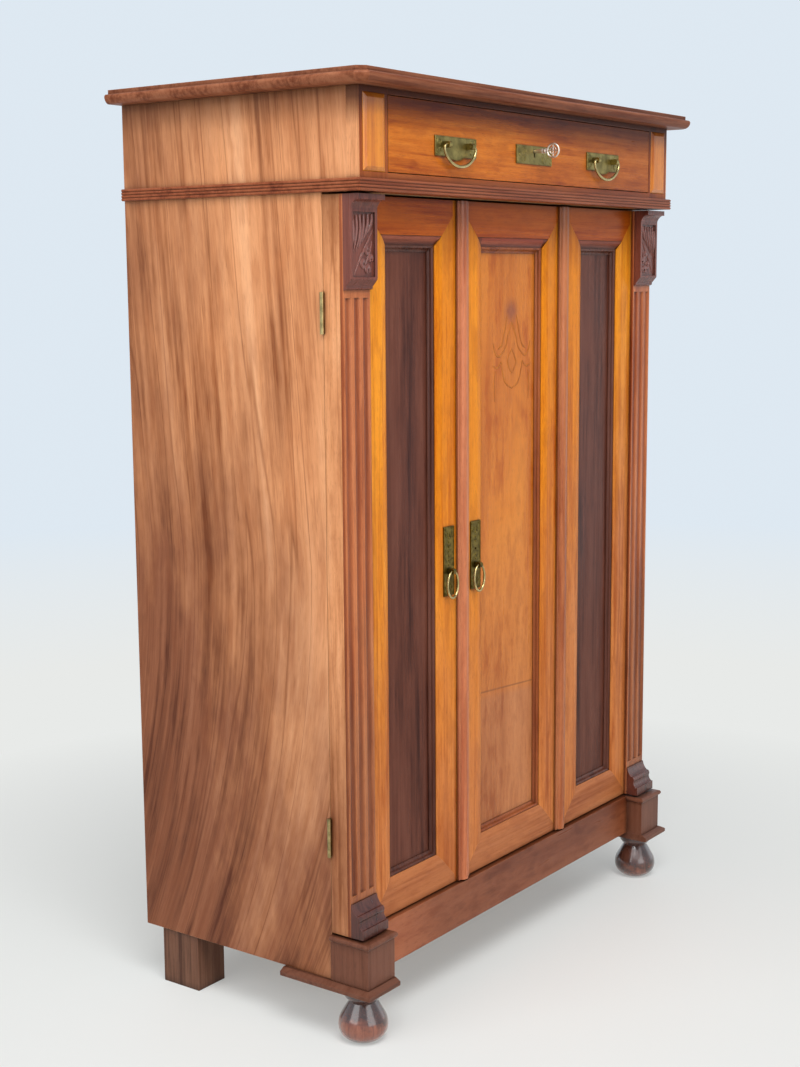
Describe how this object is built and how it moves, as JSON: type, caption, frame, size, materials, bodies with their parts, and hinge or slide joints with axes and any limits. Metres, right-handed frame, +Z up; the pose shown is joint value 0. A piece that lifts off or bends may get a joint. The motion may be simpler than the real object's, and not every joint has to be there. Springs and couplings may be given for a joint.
{
  "type": "parlour cabinet",
  "caption": "Tall wooden cupboard on turned feet with a frieze drawer over panelled doors flanked by fluted pilasters with carved capitals and brass pulls.",
  "frame": {"origin": "middle of the cabinet's box, on the floor", "axes": "+X to the right as seen from the front, +Y to the back, +Z up"},
  "size_m": [0.984, 0.503, 1.421],
  "materials": {
    "mahogany": "satin, waxed",
    "side_veneer": "satin, waxed",
    "inside_wood": "plain, matt",
    "frieze_block": "gloss",
    "turned_foot": "gloss",
    "door_frame": "satin, waxed",
    "dark_panel": "gloss",
    "dark_moulding": "gloss",
    "centre_panel": "satin, waxed",
    "red_moulding": "gloss",
    "pilaster": "satin",
    "carved_wood": "satin",
    "drawer_veneer": "satin, waxed",
    "plate_brass": "dull patina",
    "bright_brass": "worn bright",
    "steel": "worn"
  },
  "bodies": {
    "carcass": {"top_board": "mahogany", "left_side": "side_veneer", "right_side": "side_veneer", "back_boards": "inside_wood", "floor_board": "inside_wood", "shelves": "inside_wood", "shelf_battens": "inside_wood", "drawer_divider": "inside_wood", "frieze_rails": "mahogany", "frieze_stiles": "mahogany", "frieze_blocks": "frieze_block", "waist_moulding": "mahogany", "drawer_runners": "inside_wood", "bottom_rail": "mahogany", "corner_blocks": "mahogany", "base_plates": "mahogany", "front_feet": "turned_foot", "rear_feet": "side_veneer", "carcass_hinges": "bright_brass"},
    "left_door": {"left_door_outer_stile": "door_frame", "left_door_inner_stile": "door_frame", "left_door_top_rail": "door_frame", "left_door_bottom_rail": "door_frame", "left_door_panel": "dark_panel", "left_panel_moulding": "dark_moulding", "left_pilaster_shaft": "pilaster", "left_capital": "carved_wood", "left_pilaster_base": "carved_wood", "left_door_plate": "plate_brass", "left_door_hinge_leaves": "bright_brass"},
    "right_door": {"right_door_outer_stile": "door_frame", "right_door_inner_stile": "door_frame", "right_door_mullion": "door_frame", "right_door_top_rails": "door_frame", "right_door_bottom_rails": "door_frame", "centre_panel": "centre_panel", "right_door_panel": "dark_panel", "centre_panel_moulding": "red_moulding", "right_panel_moulding": "dark_moulding", "door_mouldings": "red_moulding", "right_pilaster_shaft": "pilaster", "right_capital": "carved_wood", "right_pilaster_base": "carved_wood", "right_door_plate": "plate_brass", "right_door_hinge_leaves": "bright_brass", "door_lock_case": "steel"},
    "drawer": {"drawer_front": "drawer_veneer", "drawer_sides": "inside_wood", "drawer_back": "inside_wood", "drawer_bottom": "inside_wood", "drawer_pull_plates": "plate_brass", "drawer_escutcheon": "plate_brass", "drawer_lock_case": "steel"},
    "left_ring": {"left_door_ring": "bright_brass"},
    "right_ring": {"right_door_ring": "bright_brass"},
    "left_bail": {"drawer_left_bail": "bright_brass"},
    "right_bail": {"drawer_right_bail": "bright_brass"},
    "key": {"drawer_key": "steel"},
    "drawer_bolt": {"drawer_lock_bolt": "steel"},
    "door_bolt": {"door_lock_bolt": "steel"}
  },
  "joints": [
    {"name": "left_door_hinge", "type": "hinge", "parent": "carcass", "child": "left_door", "pos_m": [-0.4594, -0.1372, 0.167], "axis": [0, 0, -1], "range_deg": [0, 180]},
    {"name": "right_door_hinge", "type": "hinge", "parent": "carcass", "child": "right_door", "pos_m": [0.4594, -0.1372, 0.167], "axis": [0, 0, 1], "range_deg": [0, 180]},
    {"name": "drawer_slide", "type": "slide", "parent": "carcass", "child": "drawer", "axis": [0, -1, 0], "range_m": [0, 0.3]},
    {"name": "left_ring_pivot", "type": "hinge", "parent": "left_door", "child": "left_ring", "pos_m": [-0.19, -0.1765, 0.682], "axis": [-1, 0, 0], "range_deg": [0, 95]},
    {"name": "right_ring_pivot", "type": "hinge", "parent": "right_door", "child": "right_ring", "pos_m": [-0.11475, -0.1765, 0.682], "axis": [-1, 0, 0], "range_deg": [0, 95]},
    {"name": "left_bail_pivot", "type": "hinge", "parent": "drawer", "child": "left_bail", "pos_m": [-0.221, -0.213, 1.33075], "axis": [-1, 0, 0], "range_deg": [0, 95]},
    {"name": "right_bail_pivot", "type": "hinge", "parent": "drawer", "child": "right_bail", "pos_m": [0.221, -0.213, 1.33075], "axis": [-1, 0, 0], "range_deg": [0, 95]},
    {"name": "key_turn", "type": "hinge", "parent": "drawer", "child": "key", "pos_m": [0, -0.2035, 1.33475], "axis": [0, 1, 0], "range_deg": [0, 360]},
    {"name": "drawer_bolt_slide", "type": "slide", "parent": "drawer", "child": "drawer_bolt", "axis": [0, 0, 1], "range_m": [0, 0.008]},
    {"name": "door_bolt_slide", "type": "slide", "parent": "right_door", "child": "door_bolt", "axis": [-1, 0, 0], "range_m": [0, 0.008]}
  ],
  "couplings": [
    {"joint": "key_turn", "follows": "drawer_bolt_slide", "rad_per_m": 785.4}
  ]
}
